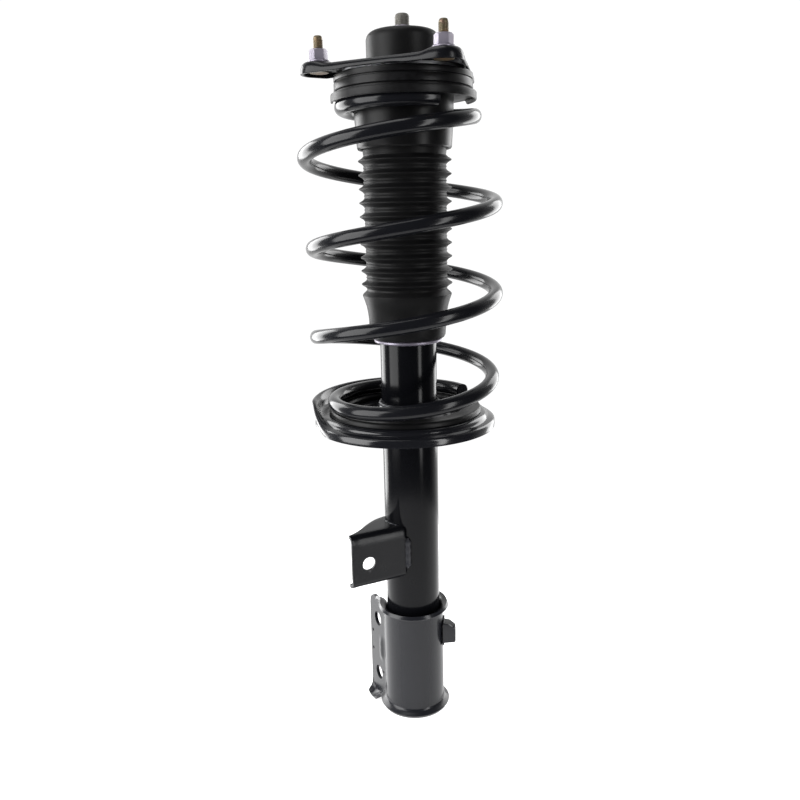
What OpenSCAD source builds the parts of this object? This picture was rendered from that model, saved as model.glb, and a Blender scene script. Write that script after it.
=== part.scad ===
// MacPherson strut assembly: damper, coil spring, top mount and knuckle bracket.
// Origin on the strut axis, in the plane of the tower contact pads.
// +Z runs up the piston rod, +X points to the knuckle, +Y lies along the knuckle bolts.

/* [Top mount] */
// Distance of the tower studs from the strut axis
stud_circle_r = 69; // [67:0.5:71]
// Radius of the M8 tower studs
stud_r = 4; // [3.5:0.1:4.5]
// Height of the stud tips above the tower plane
stud_top_z = 20; // [18:0.5:24]
// Radius of the lobe around each stud
lobe_r = 15.5; // [14:0.5:17]
// Sheet thickness of the mount plate
plate_t = 3; // [2.5:0.1:3.2]
// Outer radius of the domed mount housing
hat_r = 30; // [29:0.5:31]
// Height of the mount housing above the tower plane
hat_top_z = 24; // [23:0.5:26]

/* [Upper seat] */
// Outer radius of the bearing dust ring
dust_ring_r = 57.5; // [56:0.5:58]
// Outer radius of the rubber seat skirt
skirt_r = 60.5; // [60:0.5:62]
// Outer radius of the seat neck at its root
neck_r = 41.5; // [41:0.1:42]
// Height of the lower end of the seat neck
neck_bottom_z = -68; // [-70:1:-64]

/* [Spring] */
// Diameter of the spring wire
wire_d = 12.4; // [12:0.1:12.6]
// Centreline radius of the free coils
coil_r = 79; // [77:0.5:79]
// Centreline radius of the upper end coil
top_coil_r = 51.5; // [51:0.5:52]
// Centreline radius of the lower end coil
end_coil_r = 61; // [60:0.5:62]
// Height the upper end coil would keep if it never left its seat
top_coil_z = -31.5; // [-32:0.1:-31.5]
// Rise of a free coil in one turn
coil_pitch = 76.5; // [76:0.1:77]
// Number of turns
coil_turns = 4.76; // [4.6:0.02:4.8]
// Offset of the free coils toward the knuckle
coil_shift_x = 4; // [2:0.5:5]

/* [Dust boot] */
// Peak radius of the bellows
boot_peak_r = 39.3; // [38.5:0.1:39.5]
// Valley radius of the bellows
boot_valley_r = 34.8; // [34:0.1:35.5]
// Wall thickness of the boot
boot_wall = 1.4; // [1.2:0.1:1.6]
// Number of folds
boot_folds = 10; // [9:1:11]

/* [Damper] */
// Outside radius of the reserve tube
tube_r = 25; // [24.8:0.1:25.2]
// Wall of the reserve tube
tube_wall = 2.5; // [2:0.1:3]
// Radius of the piston rod
rod_r = 10; // [9:0.5:10]
// Radius of the threaded rod tip
rod_tip_r = 6; // [5:0.1:6.5]
// Inside radius of the inner cylinder
bore_r = 16; // [15:0.5:16]
// Radial running clearance of the rod and the piston
running_gap = 0.05; // [0.03:0.01:0.08]

/* [Lower seat] */
// Outer radius of the lower spring seat
pan_r = 82; // [80:0.5:83]
// Offset of the lower seat toward the knuckle
pan_x = 10; // [8:0.5:11]
// Sheet thickness of the lower seat
pan_t = 3; // [2.5:0.1:3.2]

/* [Knuckle bracket] */
// Sheet thickness of the knuckle bracket
bracket_t = 3.2; // [3:0.1:3.4]
// Distance of the knuckle bolts from the strut axis
bolt_x = 37; // [36:0.5:40]
// Radius of the knuckle bolt holes
bolt_hole_r = 7.1; // [6.5:0.1:7.2]
// Height of the upper knuckle bolt
upper_bolt_z = -513; // [-515:0.5:-511]
// Distance between the two knuckle bolts
bolt_spacing = 59.5; // [57:0.5:60]

/* [Link and hose brackets] */
// Radius of the sway bar link hole
link_hole_r = 6.25; // [5:0.05:6.5]
// Height of the sway bar link hole
link_hole_z = -423; // [-425:0.5:-420]
// Reach of the link bracket from the strut axis
link_reach = 70; // [68:1:74]

/* [Hidden] */
$fn = 72;
eps = 0.01;
fit_gap = 0.05;

// top mount levels
stud_angles = [74, 180, 290];
plate_top_z = -3;
plate_bottom_z = plate_top_z - plate_t;
plate_skirt_z = -8.5;
plate_disc_r = 54;
washer_t = 1.2;
nut_af = 13;
nut_h = 8.5;
nut_top_z = washer_t + nut_h;
stud_head_r = 8;
stud_head_t = 2.2;
stud_groove_r = 3.6;
stud_groove_h = 0.6;
core_r = 13;
core_bottom_z = -14;
rod_nut_af = 18;
rod_nut_z = 18.5;
rod_nut_h = 9;
rod_tip_z = 37.5;
hat_wall = 2.5;
hat_hole_r = 11;

// bearing and upper seat levels
bearing_r = 44;
ball_r = 2;
ball_z = -13;
ball_count = 24;
seat_disc_top_z = -18;
seat_disc_bottom_z = -22;
pad_bottom_z = -26.6;
skirt_bottom_z = -30.4;

// spring: turns at which the free coils begin and end, and how softly they do
free_from = 0.8;
free_from_blend = 0.25;
free_to = 4.106;
free_to_blend = 0.1;
top_end_angle = -176;
end_shift_x = 9;
first_coil_shift_y = 5;
wire_sides = 12;
rings_per_turn = 30;

// boot levels
boot_top_z = -52;
folds_top_z = -71;
folds_bottom_z = -185;
boot_rim_z = -189;
boot_end_z = -226.5;

// damper levels
tube_top_z = -228;
tube_bottom_z = -578;
cap_flange_r = 30;
cap_flange_z = -227;
guide_h = 22;
seal_h = 6;
cylinder_top_z = -250;
cylinder_bottom_z = -558;
piston_z = -276;
piston_h = 22;
rod_end_z = -312;
bump_stop_bottom_z = -134.5;
bump_stop_top_z = -16.2;
bump_cup_depth = 26;

// lower seat levels
seat_floor_z = wire_z(coil_turns) - wire_d / 2 - 5;
pan_rim_z = seat_floor_z - 14.5;
pad_t = 4.6;
dome_top_z = seat_floor_z + 9;
dome_base_r = 41;

// knuckle bracket levels
sleeve_top_z = -485;
sleeve_bottom_z = -585;
ear_y = 21.5;
ear_root_x = 17.6;
ear_end_x = 55;
sleeve_lip = 4.8;
ear_lip_y = 28.5;
lower_bolt_z = upper_bolt_z - bolt_spacing;

// link bracket: the web's plane and edges
link_web_x = -17.7;
link_hole_y = 54;
link_t = 3;
link_top_z = -398.5;
link_bottom_z = -442.5;
link_flange = 9;

// hose bracket: its direction from the strut axis and its heights
hose_angle = -122;
hose_top_z = -501;
hose_h = 24;
hose_t = 2;

// ---------- helpers ----------
function soft(x, blend) = (x + sqrt(x * x + blend * blend)) / 2;
function ease(t) = t < 0 ? 0 : t > 1 ? 1 : t * t * (3 - 2 * t);
function mix(a, b, t) = a + (b - a) * t;
function arc(cx, cy, r, from, to, steps) =
    [for (i = [0:steps]) let (a = mix(from, to, i / steps)) [cx + r * cos(a), cy + r * sin(a)]];

module ring(inner, outer, low, high) {
    translate([0, 0, low])
        difference() {
            cylinder(r = outer, h = high - low);
            translate([0, 0, -1]) cylinder(r = inner, h = high - low + 2);
        }
}

module at_studs() {
    for (a = stud_angles)
        rotate([0, 0, a]) translate([stud_circle_r, 0, 0]) children();
}

module hexagon(af, h) {
    cylinder(r = af / sqrt(3), h = h, $fn = 6);
}

// ---------- top mount ----------
module plate_outline(inset) {
    hull() at_studs() circle(r = lobe_r - inset);
    circle(r = plate_disc_r - inset);
}

module mount_plate() {
    color("#1b1c1f")
        difference() {
            union() {
                translate([0, 0, plate_bottom_z]) linear_extrude(plate_t) plate_outline(0);
                translate([0, 0, plate_skirt_z])
                    linear_extrude(plate_top_z - plate_skirt_z - eps)
                        difference() {
                            plate_outline(0);
                            plate_outline(2.5);
                        }
                at_studs() translate([0, 0, plate_top_z]) cylinder(r1 = 13, r2 = 10, h = -plate_top_z);
            }
            translate([0, 0, plate_bottom_z - 1]) cylinder(r = hat_r - hat_wall, h = plate_t + 2);
            at_studs() translate([0, 0, plate_bottom_z - 1])
                cylinder(r = stud_r + fit_gap, h = plate_t + 6);
        }
}

module mount_hat() {
    inner = hat_r - hat_wall;
    color("#232427")
        rotate_extrude()
            polygon(concat(
                [[inner, plate_top_z], [hat_r, plate_top_z]],
                arc(hat_r - 6, hat_top_z - 6, 6, 0, 90, 5),
                [[hat_hole_r, hat_top_z], [hat_hole_r, hat_top_z - hat_wall]],
                arc(hat_r - 6, hat_top_z - 6, 6 - hat_wall, 90, 0, 5)
            ));
}

module mount_rubber() {
    inner = hat_r - hat_wall - fit_gap;
    color("#17181a")
        rotate_extrude()
            polygon([
                [core_r + fit_gap, -9], [18, -9], [22, plate_bottom_z], [inner, plate_bottom_z],
                [inner, hat_top_z - 8], [inner - 5, hat_top_z - 3.2], [core_r + fit_gap, hat_top_z - 3.2]
            ]);
}

module mount_core() {
    color("#8e9296") ring(rod_tip_r + fit_gap, core_r, core_bottom_z, rod_nut_z - 1.6);
}

module tower_studs() {
    tip = 3;
    color("#b79a55")
        at_studs() {
            translate([0, 0, plate_bottom_z - stud_head_t])
                cylinder(r = stud_head_r, h = stud_head_t);
            translate([0, 0, plate_bottom_z - eps])
                cylinder(r = stud_r, h = nut_top_z - plate_bottom_z + eps);
            translate([0, 0, nut_top_z - eps]) cylinder(r = stud_groove_r, h = stud_groove_h + 2 * eps);
            translate([0, 0, nut_top_z + stud_groove_h])
                cylinder(r = stud_r, h = stud_top_z - tip - nut_top_z - stud_groove_h);
            translate([0, 0, stud_top_z - tip]) cylinder(r1 = stud_r, r2 = stud_r - 1.1, h = tip);
        }
}

module stud_washers() {
    color("#b9bcc0") at_studs() ring(stud_r + 0.2, 8.8, 0, washer_t);
}

module tower_nuts() {
    color("#c8cacd")
        at_studs()
            translate([0, 0, washer_t])
                difference() {
                    hexagon(nut_af, nut_h);
                    translate([0, 0, -1]) cylinder(r = stud_r + fit_gap, h = nut_h + 2);
                }
}

module rod_nut() {
    color("#b4b7ba")
        difference() {
            union() {
                translate([0, 0, rod_nut_z - 1.6]) cylinder(r = 10.4, h = 1.6);
                translate([0, 0, rod_nut_z - eps]) hexagon(rod_nut_af, rod_nut_h);
            }
            translate([0, 0, rod_nut_z - 3]) cylinder(r = rod_tip_r + fit_gap, h = rod_nut_h + 6);
        }
}

// ---------- rod and piston ----------
module piston_rod() {
    shank_r = 6;
    color("#c9ccd0")
        rotate_extrude()
            polygon([
                [0, rod_end_z], [shank_r, rod_end_z], [shank_r, piston_z + eps], [rod_r, piston_z + eps],
                [rod_r, core_bottom_z - 1], [rod_r - 1, core_bottom_z], [rod_tip_r, core_bottom_z],
                [rod_tip_r, rod_tip_z - 1], [rod_tip_r - 1, rod_tip_z], [0, rod_tip_z]
            ]);
}

module bump_stop_cup() {
    outer = 23;
    wall = 2;
    color("#2a2b2e") {
        ring(rod_r + 0.4, outer, bump_stop_top_z + 0.1, bump_stop_top_z + wall);
        ring(outer - wall, outer, bump_stop_top_z - bump_cup_depth, bump_stop_top_z + 0.1 + eps);
    }
}

module bump_stop() {
    waist = 14.5;
    bulge = 19;
    bottom = bump_stop_bottom_z;
    color("#d8cfa6")
        rotate_extrude()
            polygon([
                [rod_r + 0.8, bottom], [waist, bottom], [16.5, bottom + 5], [waist, bottom + 12],
                [bulge - 1, bottom + 22], [waist + 1, bottom + 31], [bulge, bottom + 42],
                [waist + 2, bottom + 51], [bulge + 1, bottom + 62], [waist + 3, bottom + 73],
                [bulge + 1.5, bottom + 84], [bulge + 1.5, bump_stop_top_z], [rod_r + 0.8, bump_stop_top_z]
            ]);
}

module rebound_stop() {
    color("#3b4a3f") ring(rod_r + fit_gap, bore_r - 1, piston_z + 3, piston_z + 13);
}

module piston() {
    color("#7d8084") ring(6 + fit_gap, bore_r - 0.6, piston_z - piston_h, piston_z);
}

module piston_band() {
    gap = 0.02;
    color("#3a3226")
        ring(bore_r - 0.6 + gap, bore_r - running_gap, piston_z - 18, piston_z - 6);
}

module piston_nut() {
    nut_top = piston_z - piston_h;
    color("#9a9da1")
        difference() {
            translate([0, 0, nut_top - 10]) hexagon(19, 10);
            translate([0, 0, nut_top - 11]) cylinder(r = 6 + fit_gap, h = 12);
        }
}

// ---------- bearing and upper seat ----------
module bearing_upper_race() {
    color("#4c4f53") ring(bearing_r - 7, bearing_r + 6, ball_z + ball_r + 0.3, plate_bottom_z);
}

module bearing_lower_race() {
    color("#3c3f43")
        difference() {
            ring(bearing_r - 6, bearing_r + 6, seat_disc_top_z, ball_z - 0.4);
            translate([0, 0, ball_z])
                rotate_extrude() translate([bearing_r, 0]) circle(r = ball_r + 0.2, $fn = 32);
        }
}

module bearing_balls() {
    color("#d5d8db")
        for (i = [0:ball_count - 1])
            rotate([0, 0, i * 360 / ball_count])
                translate([bearing_r, 0, ball_z]) sphere(r = ball_r, $fn = 16);
}

module upper_spring_seat() {
    wall = 3;
    color("#1c1d1f")
        rotate_extrude()
            polygon([
                [neck_r - wall, seat_disc_top_z], [dust_ring_r - wall, seat_disc_top_z],
                [dust_ring_r - wall, plate_skirt_z - 1], [dust_ring_r, plate_skirt_z - 1],
                [dust_ring_r, seat_disc_top_z + 1], [dust_ring_r - 1.2, seat_disc_top_z],
                [dust_ring_r, seat_disc_top_z - 1], [dust_ring_r, seat_disc_bottom_z],
                [neck_r, seat_disc_bottom_z], [neck_r, seat_disc_bottom_z - 20],
                [neck_r - 2, neck_bottom_z], [neck_r - 2 - wall, neck_bottom_z],
                [neck_r - wall - 1, seat_disc_bottom_z - 20]
            ]);
}

// the skirt is open where the wire leaves the seat
module upper_spring_pad() {
    skirt_from = 62;
    skirt_to = 270;
    color("#141517") {
        rotate_extrude()
            polygon([
                [neck_r + 0.1, seat_disc_bottom_z], [dust_ring_r, seat_disc_bottom_z],
                [skirt_r, seat_disc_bottom_z - 2], [skirt_r, pad_bottom_z], [neck_r + 0.1, pad_bottom_z]
            ]);
        rotate([0, 0, skirt_from])
            rotate_extrude(angle = skirt_to - skirt_from)
                polygon([
                    [skirt_r, pad_bottom_z + eps], [skirt_r, skirt_bottom_z],
                    [skirt_r - 2, skirt_bottom_z], [skirt_r - 2, pad_bottom_z + eps]
                ]);
    }
}

// ---------- coil spring ----------
// height, radius, offsets and angle of the wire's centre after n turns from the top
function wire_z(n) = top_coil_z
    - coil_pitch * (soft(n - free_from, free_from_blend) - soft(n - free_to, free_to_blend));
function wire_r(n) = mix(mix(top_coil_r, coil_r, ease((n - 0.36) / 1.08)), end_coil_r,
    ease((n - 3.65) / 0.9));
function wire_x(n) = mix(coil_shift_x * ease((n - 0.3) / 1.2), end_shift_x, ease((n - 3.6) / 0.9));
function wire_y(n) = first_coil_shift_y * ease((n - 0.3) / 0.4) * (1 - ease((n - 1.4) / 0.6));
function wire_angle(n) = top_end_angle - 360 * n;
function wire_point(n, side) =
    let (a = wire_angle(n), t = 360 * side / wire_sides, r = wire_r(n) + wire_d / 2 * cos(t))
    [wire_x(n) + r * cos(a), wire_y(n) + r * sin(a), wire_z(n) + wire_d / 2 * sin(t)];

module coil_spring() {
    rings = ceil(coil_turns * rings_per_turn);
    points = [for (i = [0:rings]) for (s = [0:wire_sides - 1])
        wire_point(coil_turns * i / rings, s)];
    sides = [for (i = [0:rings - 1]) for (s = [0:wire_sides - 1])
        let (a = i * wire_sides, b = a + wire_sides, t = (s + 1) % wire_sides)
            each [[a + s, b + s, a + t], [a + t, b + s, b + t]]];
    first = [for (s = [0:wire_sides - 1]) s];
    last = [for (s = [wire_sides - 1:-1:0]) rings * wire_sides + s];
    color("#101114") polyhedron(points, concat(sides, [first, last]));
}

// ---------- dust boot ----------
module dust_boot() {
    fold = (folds_top_z - folds_bottom_z) / boot_folds;
    cuff_r = neck_r - 6.2;
    outer = concat(
        [[cuff_r, boot_top_z], [cuff_r, folds_top_z]],
        [for (i = [0:boot_folds - 1])
            each [[boot_peak_r, folds_top_z - fold * (i + 0.5)],
                  [boot_valley_r, folds_top_z - fold * (i + 1)]]],
        [[boot_peak_r - 0.5, boot_rim_z], [boot_valley_r, boot_end_z + 3], [31, boot_end_z]]
    );
    last = len(outer) - 1;
    inner = [for (i = [last:-1:0]) [outer[i][0] - boot_wall, outer[i][1]]];
    color("#202124") rotate_extrude() polygon(concat(outer, inner));
}

// ---------- damper ----------
module strut_tube() {
    color("#15161a") ring(tube_r - tube_wall, tube_r, tube_bottom_z, tube_top_z);
}

module tube_cap() {
    skirt = tube_r + 1.2;
    color("#d9dcdf") {
        ring(tube_r + fit_gap, skirt, tube_top_z - 2.9, tube_top_z + eps);
        ring(rod_r + 1.5, skirt, tube_top_z, cap_flange_z + 2);
        ring(skirt - eps, cap_flange_r, cap_flange_z - 3, cap_flange_z);
    }
}

module rod_guide() {
    top = tube_top_z - seal_h;
    inner_r = tube_r - tube_wall - fit_gap;
    color("#8b8e92")
        difference() {
            union() {
                ring(rod_r + running_gap, inner_r, cylinder_top_z, top);
                ring(rod_r + running_gap, bore_r - fit_gap, top - guide_h - 6, cylinder_top_z + eps);
            }
            translate([0, 0, top - 1]) cylinder(r = rod_r + 3, h = 2);
        }
}

module oil_seal() {
    color("#2b2d31")
        ring(rod_r + running_gap, tube_r - tube_wall - fit_gap, tube_top_z - seal_h, tube_top_z - 0.2);
}

module inner_cylinder() {
    color("#a9acb0") ring(bore_r, bore_r + 1.5, cylinder_bottom_z, cylinder_top_z);
}

module base_valve() {
    color("#8f9296")
        difference() {
            translate([0, 0, cylinder_bottom_z - 10]) cylinder(r = bore_r + 1.5, h = 10);
            for (i = [0:5])
                rotate([0, 0, 60 * i]) translate([10, 0, cylinder_bottom_z - 11])
                    cylinder(r = 1.8, h = 12);
        }
}

module base_cup() {
    floor_z = tube_bottom_z + 4;
    color("#15161a") {
        translate([0, 0, tube_bottom_z + 0.5])
            cylinder(r = tube_r - tube_wall - fit_gap, h = 3.5 + eps);
        ring(18, tube_r - tube_wall - fit_gap, floor_z, floor_z + 8);
    }
}

// ---------- lower seat ----------
// the pressed disc, about its own centre
module seat_disc() {
    step_r = pan_r - 8;
    rotate_extrude()
        polygon([
            [0, seat_floor_z - pan_t], [step_r - 2, seat_floor_z - pan_t],
            [step_r, seat_floor_z - 7], [pan_r - 3.5, seat_floor_z - 7.6],
            [pan_r - 3, pan_rim_z], [pan_r, pan_rim_z], [pan_r, seat_floor_z - 6],
            [pan_r - 1.5, seat_floor_z - 4.6], [step_r + 1.5, seat_floor_z - 4],
            [step_r, seat_floor_z], [0, seat_floor_z]
        ]);
}

// the part of the rim that stands up outside the end coil
module seat_upstand() {
    from = -36;
    to = 68;
    top = seat_floor_z + 11;
    rotate([0, 0, from])
        rotate_extrude(angle = to - from)
            polygon([
                [pan_r - 5, seat_floor_z - 5], [pan_r - 2, seat_floor_z - 6],
                [pan_r + 2, top], [pan_r - 1, top]
            ]);
}

// the drawn neck that is welded to the tube
module seat_dome() {
    root = tube_r + fit_gap;
    rotate_extrude()
        polygon([
            [root, dome_top_z], [root, seat_floor_z + 3], [root + 6, seat_floor_z - 1.5],
            [dome_base_r, seat_floor_z - pan_t], [dome_base_r + 2, seat_floor_z - pan_t],
            [dome_base_r + 2, seat_floor_z], [dome_base_r - 1, seat_floor_z],
            [root + 9, seat_floor_z + 2], [root + pan_t + 1, seat_floor_z + 6], [root + pan_t, dome_top_z]
        ]);
}

module lower_spring_seat() {
    color("#121316") {
        difference() {
            translate([pan_x, 0, 0]) {
                seat_disc();
                seat_upstand();
            }
            translate([0, 0, seat_floor_z - 20]) cylinder(r = dome_base_r + 1, h = 40);
        }
        seat_dome();
    }
}

module lower_spring_pad() {
    color("#17181a")
        translate([end_shift_x, 0, 0])
            ring(end_coil_r - 9, end_coil_r + 9, seat_floor_z + eps, seat_floor_z + pad_t);
}

// ---------- knuckle bracket ----------
// one ear seen from the side, as [x, z] points: it drops and narrows toward the knuckle
ear_shape = [
    [ear_root_x, sleeve_top_z - 2], [42, sleeve_top_z - 2], [49, sleeve_top_z - 5], [53, sleeve_top_z - 11],
    [ear_end_x, sleeve_top_z - 20], [ear_end_x, lower_bolt_z - 8], [53, lower_bolt_z - 19],
    [48, lower_bolt_z - 26], [42, lower_bolt_z - 27.5], [ear_root_x, sleeve_bottom_z + 2]
];

module sleeve_section() {
    wall_r = tube_r + fit_gap;
    out_r = tube_r + bracket_t;
    polygon([
        [wall_r, sleeve_bottom_z + 5], [wall_r + 1.5, sleeve_bottom_z + 1.5],
        [out_r + sleeve_lip, sleeve_bottom_z], [out_r + sleeve_lip, sleeve_bottom_z + 2.6],
        [out_r + 1, sleeve_bottom_z + 4], [out_r, sleeve_bottom_z + 6],
        [out_r, sleeve_top_z - 6], [out_r + 1, sleeve_top_z - 4],
        [out_r + sleeve_lip, sleeve_top_z - 2.6], [out_r + sleeve_lip, sleeve_top_z],
        [wall_r + 1.5, sleeve_top_z - 1.5], [wall_r, sleeve_top_z - 5]
    ]);
}

module ear_lip(from, to) {
    dx = to[0] - from[0];
    dz = to[1] - from[1];
    length = sqrt(dx * dx + dz * dz);
    translate([from[0], ear_y - bracket_t, from[1]])
        rotate([0, -atan2(dz, dx), 0])
            translate([0, 0, -bracket_t / 2]) cube([length, ear_lip_y - ear_y + bracket_t, bracket_t]);
}

module one_ear() {
    translate([0, ear_y, 0]) rotate([90, 0, 0]) linear_extrude(bracket_t) polygon(ear_shape);
    ear_lip([ear_root_x, sleeve_top_z - 3.6], [42, sleeve_top_z - 3.6]);
    ear_lip([ear_root_x, sleeve_bottom_z + 2.6], [42, lower_bolt_z - 25.9]);
}

module knuckle_bracket() {
    color("#26282b")
        difference() {
            union() {
                difference() {
                    rotate_extrude() sleeve_section();
                    translate([16, -ear_y + bracket_t, sleeve_bottom_z - 20])
                        cube([40, 2 * (ear_y - bracket_t), 140]);
                    translate([20, -50, sleeve_bottom_z - 20]) cube([40, 100, 140]);
                }
                one_ear();
                mirror([0, 1, 0]) one_ear();
            }
            cylinder_y(bolt_hole_r, upper_bolt_z);
            cylinder_y(bolt_hole_r, lower_bolt_z);
        }
}

module cylinder_y(r, z) {
    translate([bolt_x, 50, z]) rotate([90, 0, 0]) cylinder(r = r, h = 100);
}

module bracket_stiffener() {
    width = 2 * (ear_y - bracket_t) - 0.4;
    color("#222427")
        translate([tube_r + 0.4, -width / 2, sleeve_bottom_z + 8])
            cube([bracket_t, width, sleeve_top_z - sleeve_bottom_z - 16]);
}

// ---------- link and hose brackets ----------
module sway_link_bracket() {
    tube_y = sqrt(tube_r * tube_r - link_web_x * link_web_x);
    web_near = link_web_x - link_t / 2;
    color("#1d1f22")
        difference() {
            union() {
                translate([web_near, tube_y + 2.2, link_bottom_z])
                    cube([link_t, link_reach - tube_y - 2.2, link_top_z - link_bottom_z]);
                translate([0, 0, link_top_z - link_t])
                    linear_extrude(link_t)
                        polygon([
                            [web_near, tube_y], [web_near, link_reach], [link_web_x + 4, link_reach],
                            [4, 33], [12, 22]
                        ]);
                translate([web_near, tube_y, link_bottom_z])
                    linear_extrude(link_t)
                        polygon([
                            [0, 0], [0, link_reach - tube_y], [link_flange - 3, link_reach - tube_y],
                            [link_flange, link_reach - tube_y - 12], [link_flange + 6, 4]
                        ]);
            }
            translate([0, 0, link_bottom_z - 1])
                cylinder(r = tube_r + 0.1, h = link_top_z - link_bottom_z + 2);
            translate([link_web_x - 10, link_hole_y, link_hole_z])
                rotate([0, 90, 0]) cylinder(r = link_hole_r, h = 20);
        }
}

module hose_bracket() {
    root = tube_r + bracket_t + 0.1;
    reach = 13;
    color("#1d1f22")
        rotate([0, 0, hose_angle]) {
            translate([root, -8, hose_top_z - hose_h]) cube([hose_t, 16, hose_h]);
            translate([root + hose_t - eps, -8, hose_top_z - hose_h + 3])
                cube([reach - hose_t, hose_t, hose_h - 6]);
            translate([root, 0, hose_top_z - 5])
                linear_extrude(hose_t)
                    polygon([[hose_t - eps, -8], [reach, -8], [reach, -4], [hose_t - eps, 6]]);
        }
}

// ---------- welds ----------
module upright_bead(angle, r, low, high) {
    rotate([0, 0, angle]) translate([r, 0, low])
        linear_extrude(high - low) polygon([[0, -0.4], [2.4, -0.2], [2.8, 1.2], [0.6, 3.4]]);
}

module weld_beads() {
    color("#34363a") {
        rotate_extrude()
            polygon([
                [tube_r + 0.06, dome_top_z + 0.02], [tube_r + 3, dome_top_z + 0.02],
                [tube_r + 0.06, dome_top_z + 2.8]
            ]);
        upright_bead(140.5, tube_r + 0.1, link_bottom_z + 10, link_top_z - 9);
        translate([6, 28.4, link_top_z + 0.05]) cylinder(r1 = 2.6, r2 = 1.4, h = 2);
        rotate([0, 0, hose_angle]) translate([tube_r + bracket_t + 1.2, 9.3, hose_top_z - hose_h + 4])
            cylinder(r = 1.1, h = hose_h - 8);
    }
}

mount_plate();
mount_hat();
mount_rubber();
mount_core();
tower_studs();
stud_washers();
tower_nuts();
rod_nut();
piston_rod();
bump_stop_cup();
bump_stop();
rebound_stop();
piston();
piston_band();
piston_nut();
bearing_upper_race();
bearing_lower_race();
bearing_balls();
upper_spring_seat();
upper_spring_pad();
coil_spring();
dust_boot();
strut_tube();
tube_cap();
rod_guide();
oil_seal();
inner_cylinder();
base_valve();
base_cup();
lower_spring_seat();
lower_spring_pad();
knuckle_bracket();
bracket_stiffener();
sway_link_bracket();
hose_bracket();
weld_beads();
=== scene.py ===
import math

import bmesh
import bpy
from mathutils import Matrix, Vector


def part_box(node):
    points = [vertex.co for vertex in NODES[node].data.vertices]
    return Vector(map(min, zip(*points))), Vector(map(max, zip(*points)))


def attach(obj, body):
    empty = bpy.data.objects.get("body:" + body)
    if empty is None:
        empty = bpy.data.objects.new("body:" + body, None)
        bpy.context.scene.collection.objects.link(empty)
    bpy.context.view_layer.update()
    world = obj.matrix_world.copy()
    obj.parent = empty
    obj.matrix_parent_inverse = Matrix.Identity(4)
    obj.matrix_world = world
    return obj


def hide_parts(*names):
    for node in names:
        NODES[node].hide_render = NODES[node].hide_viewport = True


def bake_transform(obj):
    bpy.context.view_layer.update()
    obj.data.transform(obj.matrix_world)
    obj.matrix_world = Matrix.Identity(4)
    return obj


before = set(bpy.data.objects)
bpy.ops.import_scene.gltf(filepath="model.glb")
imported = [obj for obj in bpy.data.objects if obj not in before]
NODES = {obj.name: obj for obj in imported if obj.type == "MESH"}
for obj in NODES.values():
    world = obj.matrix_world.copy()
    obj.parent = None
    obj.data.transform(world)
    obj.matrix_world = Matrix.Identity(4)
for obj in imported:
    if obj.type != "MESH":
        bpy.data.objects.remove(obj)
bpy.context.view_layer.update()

MM = 0.001

# ---------- driving dimensions, as in the CAD ----------
STUD_CIRCLE_R = 69.0
STUD_ANGLES = (74.0, 180.0, 290.0)
STUD_R = 4.0
NUT_FLATS = 13.0
NUT_BOTTOM_Z = 1.2
NUT_TOP_Z = 9.7
PLATE_TOP_Z = -3.0
PLATE_SKIRT_Z = -8.5
LOBE_SKIRT_Z = -9.6
LOBE_R = 15.5
PLATE_DISC_R = 54.0
HAT_R = 30.0
HAT_TOP_Z = 24.0
ROD_TIP_R = 6.0
WIRE_R = 6.2
TUBE_R = 25.0
SLEEVE_TOP_Z = -485.0
SLEEVE_BOTTOM_Z = -585.0
SHEET = 3.2
EAR_Y = 21.5
EAR_END_X = 55.0
BOLT_X = 37.0
BOLT_ZS = (-513.0, -572.5)
BOLT_HOLE_R = 7.1
COIL_TURNS = 4.76
TOP_COIL_Z = -31.5
END_COIL_Z = -284.4
COIL_PITCH = 76.5
TOP_COIL_R = 51.5
COIL_R = 79.0
END_COIL_R = 61.0
TOP_END_ANGLE = -176.0
SEAT_FLOOR_Z = END_COIL_Z - WIRE_R - 5.0
SEAT_X = 10.0
LOWEST_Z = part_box("knuckle_bracket")[0].z


# ---------- small maths ----------
def mix(a, b, t):
    return a + (b - a) * t


def ease(t):
    t = min(max(t, 0.0), 1.0)
    return t * t * (3 - 2 * t)


def polar(radius, degrees):
    angle = math.radians(degrees)
    return radius * math.cos(angle), radius * math.sin(angle)


def arc(cx, cy, radius, start, stop, steps):
    """Points of an arc, both ends included."""
    angles = [mix(start, stop, i / steps) for i in range(steps + 1)]
    return [(cx + polar(radius, a)[0], cy + polar(radius, a)[1]) for a in angles]


def rounded(points, radius, steps=4):
    """The closed outline with its corners rounded, less where its sides are short."""
    out = []
    for i, corner in enumerate(points):
        p = Vector(corner)
        before = Vector(points[i - 1]) - p
        after = Vector(points[(i + 1) % len(points)]) - p
        reach = min(radius, 0.45 * before.length, 0.45 * after.length)
        a = p + before.normalized() * reach
        b = p + after.normalized() * reach
        for k in range(steps + 1):
            t = k / steps
            q = a * (1 - t) ** 2 + p * 2 * t * (1 - t) + b * t * t
            out.append(tuple(q))
    return out


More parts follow.
